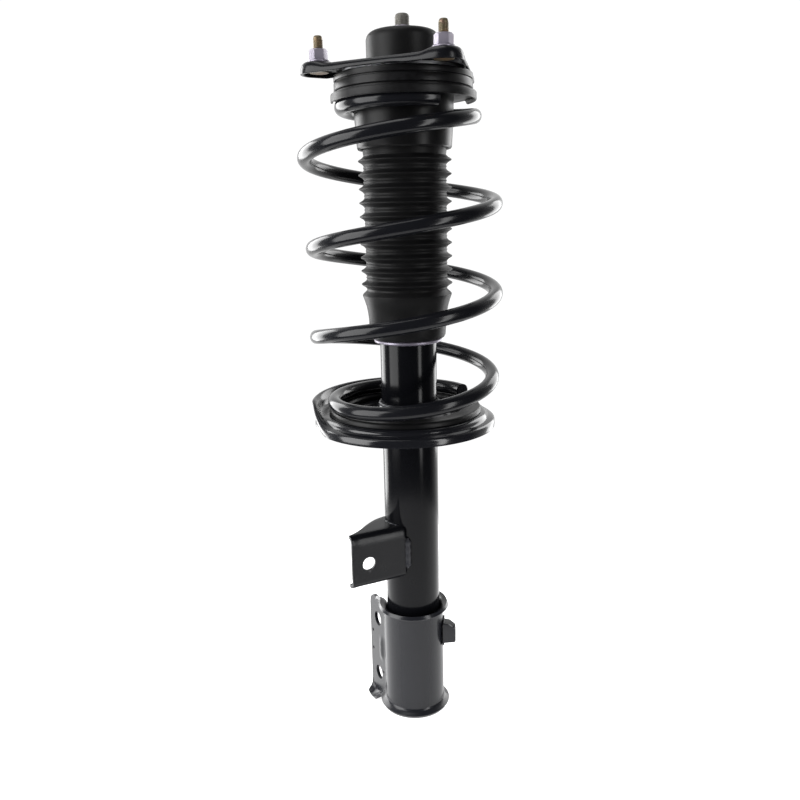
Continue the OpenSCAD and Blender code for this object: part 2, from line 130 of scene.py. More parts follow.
# ---------- materials ----------
class Nodes:
    """Short calls for building a material's node tree."""

    def __init__(self, name):
        self.material = bpy.data.materials.new(name)
        self.material.use_nodes = True
        self.tree = self.material.node_tree
        self.shader = self.tree.nodes["Principled BSDF"]
        self.place = self.add("ShaderNodeTexCoord").outputs["Object"]

    def add(self, kind, **inputs):
        node = self.tree.nodes.new(kind)
        for name, value in inputs.items():
            node.inputs[name].default_value = value
        return node

    def link(self, source, target):
        self.tree.links.new(source, target)

    def noise(self, scale, detail=4.0, roughness=0.55, stretch=(1, 1, 1)):
        mapping = self.add("ShaderNodeMapping", Scale=stretch)
        self.link(self.place, mapping.inputs["Vector"])
        node = self.add("ShaderNodeTexNoise", Scale=scale, Detail=detail, Roughness=roughness)
        self.link(mapping.outputs["Vector"], node.inputs["Vector"])
        return node.outputs["Fac"]

    def spread(self, value, low, high, start=0.3, stop=0.7):
        node = self.add("ShaderNodeMapRange")
        node.inputs["From Min"].default_value = start
        node.inputs["From Max"].default_value = stop
        node.inputs["To Min"].default_value = low
        node.inputs["To Max"].default_value = high
        self.link(value, node.inputs["Value"])
        return node.outputs["Result"]

    def colours(self, value, stops):
        node = self.add("ShaderNodeValToRGB")
        ramp = node.color_ramp
        ramp.elements[0].position, ramp.elements[0].color = stops[0][0], (*stops[0][1], 1)
        ramp.elements[1].position, ramp.elements[1].color = stops[-1][0], (*stops[-1][1], 1)
        for position, colour in stops[1:-1]:
            ramp.elements.new(position).color = (*colour, 1)
        self.link(value, node.inputs["Fac"])
        return node.outputs["Color"]

    def bump(self, value, strength, distance, under=None):
        node = self.add("ShaderNodeBump", Strength=strength, Distance=distance)
        self.link(value, node.inputs["Height"])
        if under is not None:
            self.link(under, node.inputs["Normal"])
        return node.outputs["Normal"]

    def worn_edges(self, amount):
        """About amount on convex edges and 0 on flats and hollows."""
        edge = self.add("ShaderNodeNewGeometry").outputs["Pointiness"]
        patchy = self.spread(self.noise(260.0), 0.0, 1.0, 0.42, 0.6)
        rim = self.spread(edge, 0.0, amount, 0.53, 0.6)
        product = self.add("ShaderNodeMath")
        product.operation = "MULTIPLY"
        self.link(rim, product.inputs[0])
        self.link(patchy, product.inputs[1])
        return product.outputs["Value"]

    def blend_colours(self, factor, first, second):
        node = self.add("ShaderNodeMix")
        node.data_type = "RGBA"
        self.link(factor, node.inputs["Factor"])
        for source, socket in ((first, node.inputs[6]), (second, node.inputs[7])):
            if isinstance(source, tuple):
                socket.default_value = (*source, 1)
            else:
                self.link(source, socket)
        return node.outputs[2]


def gloss_paint(name, colour, rough, peel, ior, wear=0.4):
    """Black powder coat: orange peel, a bluish tone in clouds and greyer worn edges."""
    n = Nodes(name)
    dark = (colour * 0.9, colour * 0.95, colour * 1.2)
    light = (colour * 1.1, colour * 1.15, colour * 1.45)
    tone = n.colours(n.noise(18.0), [(0.3, dark), (0.7, light)])
    n.link(n.blend_colours(n.worn_edges(wear), tone, (0.02, 0.02, 0.022)), n.shader.inputs["Base Color"])
    n.link(n.spread(n.noise(45.0, 6.0), rough[0], rough[1]), n.shader.inputs["Roughness"])
    n.shader.inputs["IOR"].default_value = ior
    coarse = n.bump(n.noise(420.0, 2.0), 0.4 * peel, 0.0004)
    n.link(n.bump(n.noise(2600.0, 1.0), 0.3 * peel, 0.0001, coarse), n.shader.inputs["Normal"])
    return n.material


def rubber(name, colour, rough, grain, ior=1.3):
    """Moulded rubber or filled nylon: fine grain with pale bloom in patches."""
    n = Nodes(name)
    dark = (colour * 0.8, colour * 0.8, colour * 0.85)
    bloom = (colour * 1.3, colour * 1.3, colour * 1.35)
    tone = n.colours(n.noise(30.0, 6.0), [(0.25, dark), (0.75, bloom)])
    n.link(n.blend_colours(n.worn_edges(0.6), tone, (0.016, 0.016, 0.018)), n.shader.inputs["Base Color"])
    n.link(n.spread(n.noise(60.0, 5.0), rough[0], rough[1]), n.shader.inputs["Roughness"])
    n.shader.inputs["IOR"].default_value = ior
    n.link(n.bump(n.noise(1500.0, 3.0), grain, 0.00025), n.shader.inputs["Normal"])
    return n.material


def plated(name, stops, rough=(0.34, 0.48), cloud=55.0):
    """Zinc plating with its passivated film: cloudy tint, uneven roughness and fine pits."""
    n = Nodes(name)
    n.shader.inputs["Metallic"].default_value = 0.6
    n.link(n.colours(n.noise(cloud, 5.0), stops), n.shader.inputs["Base Color"])
    n.link(n.spread(n.noise(140.0, 5.0), rough[0], rough[1]), n.shader.inputs["Roughness"])
    n.link(n.bump(n.noise(1800.0, 2.0), 0.1, 0.0002), n.shader.inputs["Normal"])
    return n.material


def turned(name, colour, rough=(0.18, 0.3), lines=900.0):
    """Steel with fine turning marks round the strut's axis."""
    n = Nodes(name)
    n.shader.inputs["Metallic"].default_value = 1.0
    dark = tuple(c * 0.82 for c in colour)
    n.link(n.colours(n.noise(40.0, 5.0), [(0.3, dark), (0.7, colour)]), n.shader.inputs["Base Color"])
    n.link(n.spread(n.noise(90.0, 4.0), rough[0], rough[1]), n.shader.inputs["Roughness"])
    n.link(n.bump(n.noise(lines, 2.0, 0.5, (0.02, 0.02, 1.0)), 0.2, 0.0002), n.shader.inputs["Normal"])
    return n.material


def foam(name):
    """Cellular polyurethane: fine open pores."""
    n = Nodes(name)
    n.link(
        n.colours(n.noise(70.0, 6.0), [(0.3, (0.42, 0.34, 0.17)), (0.7, (0.62, 0.53, 0.3))]),
        n.shader.inputs["Base Color"],
    )
    n.link(n.spread(n.noise(300.0, 3.0), 0.75, 0.9), n.shader.inputs["Roughness"])
    n.link(n.bump(n.noise(900.0, 4.0), 0.5, 0.0006), n.shader.inputs["Normal"])
    return n.material


PAINT = gloss_paint("tube_gloss_paint", 0.003, (0.13, 0.17), 0.05, 1.22, 0.0)
SPRING_PAINT = gloss_paint("spring_gloss_paint", 0.005, (0.15, 0.2), 0.05, 1.29)
SEAT_PAINT = gloss_paint("seat_gloss_paint", 0.006, (0.14, 0.19), 0.05, 1.42)
PLATE_PAINT = gloss_paint("plate_satin_paint", 0.004, (0.2, 0.28), 0.06, 1.26)
BRACKET_PAINT = gloss_paint("bracket_paint", 0.009, (0.2, 0.27), 0.06, 1.36, 0.0)
WELD_PAINT = gloss_paint("painted_weld", 0.014, (0.26, 0.42), 0.25, 1.36)
HAT_RUBBER = rubber("hat_rubber", 0.004, (0.4, 0.5), 0.16, 1.22)
BOOT_RUBBER = rubber("boot_rubber", 0.004, (0.42, 0.52), 0.1, 1.2)
SEAT_NYLON = rubber("seat_nylon", 0.004, (0.3, 0.38), 0.08, 1.22)
PAD_RUBBER = rubber("pad_rubber", 0.004, (0.34, 0.45), 0.15, 1.24)
BRIGHT_ZINC = plated(
    "bright_zinc", [(0.3, (0.2, 0.185, 0.23)), (0.55, (0.26, 0.24, 0.285)), (0.75, (0.22, 0.21, 0.25))]
)
YELLOW_ZINC = plated(
    "yellow_zinc",
    [
        (0.25, (0.11, 0.065, 0.035)), (0.45, (0.15, 0.1, 0.055)),
        (0.6, (0.1, 0.085, 0.05)), (0.8, (0.17, 0.09, 0.075)),
    ],
    (0.36, 0.5),
    120.0,
)
MACHINED = turned("machined_steel", (0.5, 0.51, 0.53), (0.28, 0.42))
ROD_CHROME = turned("rod_chrome", (0.72, 0.73, 0.74), (0.08, 0.16), 1400.0)
ROD_TIP = plated(
    "rod_tip_steel",
    [(0.3, (0.1, 0.095, 0.085)), (0.6, (0.14, 0.135, 0.12)), (0.8, (0.12, 0.115, 0.1))],
    (0.5, 0.6),
)
STOP_FOAM = foam("bump_stop_foam")
PTFE = rubber("filled_polymer", 0.05, (0.4, 0.55), 0.15)


# ---------- mesh building ----------
def smooth_by_angle(mesh, limit=32.0):
    """Smooth shading with edges sharper than the limit kept crisp."""
    bm = bmesh.new()
    bm.from_mesh(mesh)
    bmesh.ops.recalc_face_normals(bm, faces=bm.faces)
    for face in bm.faces:
        face.smooth = True
    for edge in bm.edges:
        edge.smooth = len(edge.link_faces) == 2 and edge.calc_face_angle() < math.radians(limit)
    bm.to_mesh(mesh)
    bm.free()


def make(name, verts, faces, material, limit=32.0):
    """An object from points in millimetres."""
    mesh = bpy.data.meshes.new(name)
    mesh.from_pydata([tuple(c * MM for c in v) for v in verts], [], faces)
    mesh.validate()
    mesh.materials.append(material)
    smooth_by_angle(mesh, limit)
    obj = bpy.data.objects.new(name, mesh)
    bpy.context.collection.objects.link(obj)
    return obj


def grid_faces(rows, cols, wrap_rows=False, wrap_cols=False):
    """Quads between rows of points; a wrapped direction joins its last row to its first."""
    faces = []
    for i in range(rows if wrap_rows else rows - 1):
        for j in range(cols if wrap_cols else cols - 1):
            a, b = i * cols, (i + 1) % rows * cols
            k = (j + 1) % cols
            faces.append((a + j, b + j, b + k, a + k))
    return faces


def tube_faces(rings, sides):
    """The side of a tube of rings, with a cap on each end."""
    first = tuple(range(sides - 1, -1, -1))
    last = tuple(range((rings - 1) * sides, rings * sides))
    return grid_faces(rings, sides, False, True) + [first, last]


def lathe(name, profile, material, steps=128, centre=(0.0, 0.0), limit=32.0):
    """A closed profile of (radius, height) points turned round the vertical line through centre."""
    verts = []
    for i in range(steps):
        angle = 2 * math.pi * i / steps
        verts += [(centre[0] + r * math.cos(angle), centre[1] + r * math.sin(angle), z) for r, z in profile]
    faces = grid_faces(steps, len(profile), True, True)
    return make(name, verts, faces, material, limit)


def apply_modifiers(obj):
    """Bakes the modifiers into the mesh."""
    graph = bpy.context.evaluated_depsgraph_get()
    mesh = bpy.data.meshes.new_from_object(obj.evaluated_get(graph), depsgraph=graph)
    obj.modifiers.clear()
    obj.data = mesh
    smooth_by_angle(mesh)
    return obj


def thicken(obj, thickness, offset, rim):
    """Turns a sheet into a solid of that thickness, on the side offset gives, with rounded edges."""
    solid = obj.modifiers.new("sheet", "SOLIDIFY")
    solid.thickness = thickness * MM
    solid.offset = offset
    solid.use_even_offset = True
    bevel(obj, rim)
    return apply_modifiers(obj)


def bevel(obj, width, segments=3):
    """Rounds the edges sharper than 35 degrees."""
    modifier = obj.modifiers.new("edges", "BEVEL")
    modifier.width = width * MM
    modifier.segments = segments
    modifier.limit_method = "ANGLE"
    modifier.angle_limit = math.radians(35.0)
    modifier.use_clamp_overlap = True


def cut_holes(obj, holes, rim=0.4):
    """Drills round holes, each (centre, axis, radius, length), then rounds the new edges."""
    sides = 48
    drills = []
    for centre, axis, radius, length in holes:
        turn = Vector((0, 0, 1)).rotation_difference(Vector(axis)).to_matrix()
        ring = [polar(radius, 360.0 * k / sides) for k in range(sides)]
        ends = (-length / 2, length / 2)
        verts = [tuple(Vector(centre) + turn @ Vector((x, y, z))) for z in ends for x, y in ring]
        drill = make("drill", verts, tube_faces(2, sides), obj.data.materials[0])
        cut = obj.modifiers.new("hole", "BOOLEAN")
        cut.operation = "DIFFERENCE"
        cut.solver = "EXACT"
        cut.object = drill
        drills.append(drill)
    if rim:
        bevel(obj, rim, 2)
    apply_modifiers(obj)
    for drill in drills:
        bpy.data.objects.remove(drill)
    return obj


def placed(obj, body, slot_name, *replaced):
    """Rides on a body and stands for CAD nodes, which it hides; slot_name is not used."""
    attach(obj, body)
    if replaced:
        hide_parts(*replaced)
    return obj


# ---------- top mount ----------
STUDS = [polar(STUD_CIRCLE_R, a) for a in STUD_ANGLES]


def plate_outline():
    """Points and outward directions along the plate's edge, counter-clockwise."""
    corners = []
    for i, angle in enumerate(STUD_ANGLES):
        here, after, before = STUDS[i], STUDS[(i + 1) % 3], STUDS[i - 1]
        normal_in = math.degrees(math.atan2(here[1] - before[1], here[0] - before[0])) - 90
        normal_out = math.degrees(math.atan2(after[1] - here[1], after[0] - here[0])) - 90
        while normal_out < normal_in:
            normal_out += 360
        corners.append((here, normal_in, normal_out))
    points = []
    for i, (centre, start, stop) in enumerate(corners):
        points += arc(centre[0], centre[1], LOBE_R, start, stop, 20)
        ahead, ahead_start, _ = corners[(i + 1) % 3]
        first = points[-1]
        last = (ahead[0] + polar(LOBE_R, ahead_start)[0], ahead[1] + polar(LOBE_R, ahead_start)[1])
        points += [(mix(first[0], last[0], k / 40), mix(first[1], last[1], k / 40)) for k in range(1, 40)]
    bulged = []
    for x, y in points:
        radius = math.hypot(x, y)
        grow = max(radius, PLATE_DISC_R) / radius
        bulged.append((x * grow, y * grow))
    for _ in range(4):
        bulged = [
            tuple((Vector(bulged[i - 1]) + Vector(p) * 2 + Vector(bulged[(i + 1) % len(bulged)])) / 4)
            for i, p in enumerate(bulged)
        ]
    return bulged


def plate_height(x, y):
    """Height of the plate's top face: flat, rising to a pad round each stud."""
    rise = 0.0
    for sx, sy in STUDS:
        away = math.hypot(x - sx, y - sy)
        rise = max(rise, 1 - ease((away - 8.5) / 9.5))
    ring = 1 - ease(abs(math.hypot(x, y) - 43.0) / 5.0)
    return PLATE_TOP_Z * (1 - rise) - 0.5 * ring * (1 - rise)


def lobe_share(x, y):
    """0 on the round middle of the plate and 1 out on the lobes."""
    return ease((math.hypot(x, y) - 59) / 6)


def mount_plate():
    """The pressed plate: its rolled edge all round, then rings that close in on the housing."""
    edge = plate_outline()
    count = len(edge)
    roll = 5.0
    hole_r = HAT_R - 1.0
    inward = []
    for i in range(count):
        tangent = Vector(edge[(i + 1) % count]) - Vector(edge[i - 1])
        inward.append(Vector((-tangent.y, tangent.x)).normalized())

    def row(inset, down):
        """One line round the plate: down runs from 0 on the top face to 1 at the rim."""
        out = []
        for p, n in zip(edge, inward):
            q = Vector(p) + n * inset
            top = plate_height(*(Vector(p) + n * roll))
            rim = mix(PLATE_SKIRT_Z, LOBE_SKIRT_Z, lobe_share(*p))
            out.append((q.x, q.y, mix(top, rim, down)))
        return out

    bends = [math.radians(15 * k) for k in range(7)]
    rows = [row(0.0, 1.0)] + [row(roll * (1 - math.cos(a)), 0.85 * (1 - math.sin(a))) for a in bends]
    for k in range(1, 13):
        ring = []
        for x, y, _ in rows[7]:
            radius = math.hypot(x, y)
            scale = mix(radius, hole_r, k / 12) / radius
            ring.append((x * scale, y * scale, plate_height(x * scale, y * scale)))
        rows.append(ring)
    faces = grid_faces(len(rows), count, False, True)
    plate = make("mount_plate_pressed", [v for r in rows for v in r], faces, PLATE_PAINT, 50.0)
    # the sheet grows away from the tower
    thicken(plate, 2.6, -1.0 if plate.data.polygons[-1].normal.z > 0 else 1.0, 0.6)
    cut_holes(plate, [((x, y, -3), (0, 0, 1), STUD_R + 0.1, 14) for x, y in STUDS], 0.0)
    placed(plate, "top_mount", "black_paint", "mount_plate")


def mount_hat():
    """The rubber housing: a foot on the plate, a round shoulder and a lip round the rod."""
    inner = HAT_R - 2.5
    profile = [(inner, PLATE_TOP_Z), (HAT_R + 1.3, PLATE_TOP_Z + 0.1), (HAT_R + 0.3, PLATE_TOP_Z + 1.3)]
    profile += [(HAT_R, PLATE_TOP_Z + 3.0)]
    profile += arc(HAT_R - 7, HAT_TOP_Z - 7, 7, 0, 82, 12)
    profile += [(18.0, HAT_TOP_Z)]
    profile += arc(12.4, HAT_TOP_Z - 1.2, 1.2, 90, 180, 5)
    profile += [(11.2, HAT_TOP_Z - 2.5), (inner - 6, HAT_TOP_Z - 2.5), (inner, HAT_TOP_Z - 8)]
    hat = lathe("mount_hat_moulded", profile, HAT_RUBBER, 144)
    placed(hat, "top_mount", "black_rubber", "mount_hat")


def hex_nut(name, flats, bottom, top, bore, centre, turn, material):
    """A chamfered hexagon nut with a countersunk bore."""
    steps = 96
    height = top - bottom
    chamfer = 0.09 * flats
    cone = flats / 2 * 1.005

    def hex_radius(angle):
        return flats / 2 / math.cos((angle - 30) % 60 * math.pi / 180 - math.pi / 6)

    chamfered = [(0.0, 0.0), (chamfer * 0.35, 0.4), (chamfer * 0.75, 1.0)]
    rows = chamfered + [(height - z, grow) for z, grow in reversed(chamfered)]
    verts = []
    for i in range(steps):
        degrees = 360.0 * i / steps
        angle = math.radians(degrees + turn)
        column = [(bore, 0.7), (bore + 0.7, 0.0)]
        for z, grow in rows:
            limit = cone + grow * (flats / math.sqrt(3) - cone)
            column.append((min(hex_radius(degrees), limit), z))
        column += [(bore + 0.7, height), (bore, height - 0.7)]
        for r, z in column:
            verts.append((centre[0] + r * math.cos(angle), centre[1] + r * math.sin(angle), bottom + z))
    faces = grid_faces(steps, len(rows) + 4, True, True)
    return make(name, verts, faces, material, 22.0)


def threaded_rod(name, radius, bottom, thread_from, thread_to, top, centre, material):
    """A stud or rod end: plain shank, helical thread and a tapered lead-in."""
    steps = 40
    pitch = 1.25
    depth = pitch * 0.28
    zs = [bottom, thread_from]
    per_pitch = 8
    rows = int((thread_to - thread_from) / pitch * per_pitch)
    zs += [thread_from + pitch * (k + 1) / per_pitch for k in range(rows)]
    zs += [top - 0.8, top]
    verts = []
    for z in zs:
        for i in range(steps):
            angle = 2 * math.pi * i / steps
            r = radius
            if thread_from < z <= thread_to:
                phase = (z / pitch - i / steps) % 1.0
                r -= depth * abs(2 * phase - 1)
            taper = ease((z - thread_to) / max(top - thread_to, 0.1))
            r -= radius * 0.18 * taper
            if z >= top:
                r -= 0.7
            verts.append((centre[0] + r * math.cos(angle), centre[1] + r * math.sin(angle), z))
    return make(name, verts, tube_faces(len(zs), steps), material, 50.0)


def tower_fasteners():
    """Three studs pressed in from below, each with its washer and nut."""
    head_profile = rounded([(0.02, -8.2), (8.0, -8.2), (8.0, -5.9), (0.02, -5.9)], 0.7)
    washer_profile = rounded([(4.3, 0.0), (9.0, 0.0), (8.7, 1.25), (4.3, 1.25)], 0.3)
    for i, ((x, y), angle) in enumerate(zip(STUDS, STUD_ANGLES)):
        stud = threaded_rod(f"tower_stud_{i + 1}", STUD_R, -6.0, -1.0, 17.2, 20.0, (x, y), YELLOW_ZINC)
        head = lathe(f"stud_head_{i + 1}", head_profile, YELLOW_ZINC, 64, (x, y))
        washer = lathe(f"stud_washer_{i + 1}", washer_profile, BRIGHT_ZINC, 72, (x, y))
        nut = hex_nut(
            f"tower_nut_{i + 1}", NUT_FLATS, NUT_BOTTOM_Z, NUT_TOP_Z, STUD_R, (x, y), angle + 30, BRIGHT_ZINC
        )
        placed(stud, "top_mount", "yellow_zinc", "tower_studs")
        placed(head, "top_mount", "yellow_zinc")
        placed(washer, "top_mount", "bright_zinc", "stud_washers")
        placed(nut, "top_mount", "bright_zinc", "tower_nuts")


def rod_end():
    """The chromed rod, its threaded tip and the nut that clamps it to the mount."""
    shank_r, core_z, piston_z = 10.0, -14.0, -276.0
    nut = hex_nut("rod_nut_hex", 18.0, 16.9, 27.5, ROD_TIP_R, (0, 0), 12.0, BRIGHT_ZINC)
    placed(nut, "top_mount", "bright_zinc", "rod_nut")
    profile = [(0.02, -312.0), (ROD_TIP_R, -312.0), (ROD_TIP_R, piston_z), (shank_r, piston_z)]
    profile += [(shank_r, core_z - 1), (shank_r - 1, core_z), (0.02, core_z)]
    placed(lathe("rod_shank", profile, ROD_CHROME, 96), "top_mount", "chrome_rod", "piston_rod")
    tip = threaded_rod("rod_tip_thread", ROD_TIP_R, core_z, 16.0, 35.5, 37.5, (0, 0), ROD_TIP)
    placed(tip, "top_mount", "chrome_rod")


# ---------- upper seat ----------
def upper_seat():
    """Moulded seat: a grooved drum under the plate and a neck that holds the boot."""
    wall = 3.0
    r = 57.5
    groove_r = r - 1.6
    neck_r = 41.5
    profile = [(38.5, -18.0), (r - wall, -18.0), (r - wall, -9.7)]
    profile += arc(r - 1.1, -10.6, 1.1, 100, 0, 5)
    profile += [(r, -13.6), (r - 0.3, -14.2), (groove_r, -14.5)]
    profile += [(groove_r, -15.1), (r - 0.3, -15.4), (r, -16.0)]
    profile += [(r, -21.2), (r - 0.8, -22.0), (neck_r, -22.0)]
    profile += [(neck_r, -42.0), (neck_r - 0.2, -45.0), (39.9, -66.5)]
    profile += arc(38.4, -66.8, 1.2, 0, -180, 6)
    profile += [(36.9, -60.0), (37.5, -42.0)]
    seat = lathe("upper_seat_moulded", profile, SEAT_NYLON, 160)
    placed(seat, "spring_seat", "seat_plastic", "upper_spring_seat")


def upper_pad():
    """The rubber ring over the top coil; its skirt is open where the wire leaves."""
    outer, inner, bore = 60.5, 58.5, 41.6
    top, low, pad_z = -22.0, -30.4, -26.6
    steps = 240
    verts = []
    for i in range(steps):
        degrees = 360.0 * i / steps
        angle = math.radians(degrees)
        shut = ease((degrees - 59) / 6) * ease((270 - degrees) / 4)
        skirt = mix(pad_z - 0.2, low, shut)
        section = [(bore, top), (56.0, top), (56.2, top - 1.4), (58.8, top - 1.7)]
        section += [(outer - 0.3, top - 2.2), (outer, top - 3), (outer, mix(top - 3, skirt, 0.85))]
        section += [(outer - 0.5, skirt), (inner + 0.4, skirt), (inner, mix(pad_z, skirt, 0.8))]
        section += [(inner, pad_z), (bore, pad_z)]
        verts += [(q * math.cos(angle), q * math.sin(angle), z) for q, z in section]
    faces = grid_faces(steps, len(section), True, True)
    pad = make("upper_pad_moulded", verts, faces, PAD_RUBBER)
    placed(pad, "spring_seat", "black_rubber", "upper_spring_pad")


# ---------- coil spring ----------
def soft(x, width):
    """0 below zero and x above it, with a soft change about as wide as width."""
    return (x + math.sqrt(x * x + width * width)) / 2


def wire_centre(n):
    """Centre of the wire after n turns from the upper end, both end coils smaller and flat."""
    free_from, free_to = 0.8, 4.106
    z = TOP_COIL_Z - COIL_PITCH * (soft(n - free_from, 0.25) - soft(n - free_to, 0.1))
    widening = mix(TOP_COIL_R, COIL_R, ease((n - 0.36) / 1.08))
    radius = mix(widening, END_COIL_R, ease((n - 3.65) / 0.9))
    shift_x = mix(4.0 * ease((n - 0.3) / 1.2), 9.0, ease((n - 3.6) / 0.9))
    shift_y = 5.0 * ease((n - 0.3) / 0.4) * (1 - ease((n - 1.4) / 0.6))
    x, y = polar(radius, TOP_END_ANGLE - 360.0 * n)
    return Vector((x + shift_x, y + shift_y, z))


def coil_spring():
    """One round wire; a weight in proportion to its height is worked out for each ring but not used."""
    sides = 28
    rings = 460
    centres, frames, weights = [], [], []
    top_z = wire_centre(0).z
    bottom_z = wire_centre(COIL_TURNS).z
    chamfer_r, chamfer_length = 0.8, 0.6
    near = 0.004
    for i in range(rings + 1):
        n = COIL_TURNS * i / rings
        ahead = wire_centre(min(n + near, COIL_TURNS)) - wire_centre(max(n - near, 0))
        centre = wire_centre(n)
        across = ahead.cross(Vector((0, 0, 1))).normalized()
        up = across.cross(ahead).normalized()
        centres.append(centre)
        frames.append((across, up))
        weights.append((centre.z - top_z) / (bottom_z - top_z))
    # each cut end has a small chamfer
    grow = [1.0] * len(centres)
    for end, step in ((0, 1), (-1, -1)):
        outward = (centres[end] - centres[end + step]).normalized()
        tip = centres[end]
        centres[end] = tip - outward * chamfer_length
        place = 0 if end == 0 else len(centres)
        centres.insert(place, tip)
        frames.insert(place, frames[end])
        weights.insert(place, weights[end])
        grow.insert(place, 1 - chamfer_r / WIRE_R)
    verts = []
    for centre, (across, up), size in zip(centres, frames, grow):
        for k in range(sides):
            x, y = polar(WIRE_R * size, 360.0 * k / sides)
            verts.append(tuple(centre + across * x + up * y))
    spring = make("coil_spring_wire", verts, tube_faces(len(centres), sides), SPRING_PAINT)
    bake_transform(spring)
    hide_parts("coil_spring")


# ---------- dust boot ----------
def boot_profile():
    """Outside of the bellows and its cuff, from the top down."""
    top, fold, folds = -71.0, 11.4, 10
    peak, valley = 39.5, 34.9
    flank = [(2.1, 36.6), (3.3, 35.4), (4.1, valley), (5.0, valley + 0.1)]
    points = [(35.3, -52.0), (35.3, top + 1.5)]
    for i in range(folds):
        middle = top - fold * (i + 0.5)
        points += [(r, middle + dz) for dz, r in reversed(flank)]
        points += arc(peak - 0.7, middle, 0.7, 60, -60, 5)
        points += [(r, middle - dz) for dz, r in flank]
        points += [(valley + 0.45, middle - fold / 2)]
    points += [(38.2, -187.6), (38.9, -188.6), (38.8, -189.6)]
    for t in (0.15, 0.35, 0.55, 0.8, 1.0):
        points.append((mix(38.5, 34.0, t) - 1.1 * math.sin(math.pi * t), mix(-190.0, -214.0, t)))
    points += [(33.6, -219.0), (33.2, -224.0), (32.2, -226.2), (31.0, -226.5)]
    return points


def dust_boot():
    """A thin bellows."""
    wall = 1.4
    outer = boot_profile()
    inner = [(max(r - wall, 29.4), z) for r, z in reversed(outer)]
    boot = lathe("dust_boot_bellows", outer + inner, BOOT_RUBBER, 144, (0, 0), 40.0)
    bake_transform(boot)
    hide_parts("dust_boot")


# ---------- damper ----------
def damper():
    """The drawn tube and the pressed cap with its narrow brim."""
    cap = [(11.5, -227.9), (11.5, -226.0), (13.0, -225.2), (24.4, -225.2), (25.6, -226.0)]
    cap += [(26.0, -227.1), (29.2, -227.2), (30.0, -227.9), (30.0, -229.2), (29.4, -230.0)]
    cap += [(26.9, -230.2), (26.2, -230.8), (25.1, -230.9), (25.1, -228.0)]
    placed(lathe("tube_cap_pressed", cap, BRIGHT_ZINC, 128), "strut_body", "bright_zinc", "tube_cap")
    tube = [(22.5, -577.4), (22.5, -228.2), (TUBE_R, -228.2), (TUBE_R, -575.6)]
    tube += [(24.5, -577.2), (23.6, -578.0)]
    placed(lathe("strut_tube_drawn", tube, PAINT, 160), "strut_body", "black_paint", "strut_tube")


# ---------- lower seat ----------
def seat_rim():
    """The pressed disc with its stepped edge, raised round the end coil between two ramps."""
    floor = SEAT_FLOOR_Z
    flat_edge = [
        (43.0, floor), (60.0, floor), (70.5, floor), (73.2, floor - 0.7), (74.4, floor - 2.6),
        (75.2, floor - 4.2), (77.0, floor - 4.9), (80.0, floor - 5.4), (81.6, floor - 6.6),
        (82.0, floor - 8.6), (82.0, floor - 11.0), (81.8, floor - 12.6), (80.6, floor - 13.0),
        (79.6, floor - 12.6), (79.3, floor - 9.4), (78.6, floor - 8.2), (76.6, floor - 7.9),
        (74.4, floor - 7.4), (72.6, floor - 6.0), (71.6, floor - 3.8), (69.6, floor - 3.0),
        (60.0, floor - 3.0), (43.0, floor - 3.0),
    ]
    raised = [
        (43.0, floor), (60.0, floor), (72.5, floor), (75.6, floor + 0.8), (77.0, floor + 2.6),
        (78.2, floor + 5.4), (79.8, floor + 9.2), (81.3, floor + 11.6), (83.0, floor + 12.2),
        (84.2, floor + 11.2), (83.0, floor + 6.0), (80.2, floor - 2.4), (80.2, floor - 4.4),
        (82.0, floor - 7.4), (82.2, floor - 9.6), (81.6, floor - 11.0), (79.6, floor - 9.2),
        (77.4, floor - 5.4), (75.0, floor - 3.6), (72.6, floor - 3.0), (69.6, floor - 3.0),
        (60.0, floor - 3.0), (43.0, floor - 3.0),
    ]
    steps = 300
    verts = []
    for i in range(steps):
        degrees = -180 + 360.0 * i / steps
        angle = math.radians(degrees)
        up = ease((degrees + 40) / 16) * ease((100 - degrees) / 36)
        tilt = 2.5 * up * math.cos(math.radians(degrees + 30))
        for (r0, z0), (r1, z1) in zip(flat_edge, raised):
            radius = mix(r0, r1, up)
            z = mix(z0, z1, up) + tilt * ease((z1 - floor) / 10)
            verts.append((SEAT_X + radius * math.cos(angle), radius * math.sin(angle), z))
    rim = make("lower_seat_rim", verts, grid_faces(steps, len(raised), True, True), SEAT_PAINT, 60.0)
    placed(rim, "strut_body", "black_paint", "lower_spring_seat")


def seat_dome():
    """The low collar in the middle of the seat, welded to the tube."""
    floor = SEAT_FLOOR_Z
    root = TUBE_R + 0.1
    top = floor + 9
    profile = [(root, top), (root, floor + 3), (root + 1.2, floor + 0.6), (root + 6, floor - 1.5)]
    profile += [(root + 10, floor - 2.6), (root + 14, floor - 3.0), (46.0, floor - 3.0), (46.0, floor + 0.05)]
    profile += [(root + 15, floor + 0.1), (root + 12, floor + 0.8), (root + 9, floor + 2)]
    profile += [(root + 6, floor + 3.8), (root + 4, floor + 6), (root + 3.0, top - 0.5), (root + 2.6, top)]
    placed(lathe("lower_seat_dome", profile, SEAT_PAINT, 144), "strut_body", "black_paint")


def lower_pad():
    """A rubber strip under the end coil, shaped as a gutter that holds the wire."""
    floor = SEAT_FLOOR_Z
    section = [(52.2, floor + 0.1), (69.2, floor + 0.1), (69.0, floor + 3.2), (67.4, floor + 5.2)]
    section += [(65.4, floor + 5.0), (END_COIL_R, floor + 4.6), (56.6, floor + 5.0)]
    section += [(54.6, floor + 5.2), (52.4, floor + 3.4)]
    pad = lathe("lower_pad_moulded", rounded(section, 1.0, 3), PAD_RUBBER, 160, (9.0, 0.0), 45.0)
    placed(pad, "strut_body", "black_rubber", "lower_spring_pad")


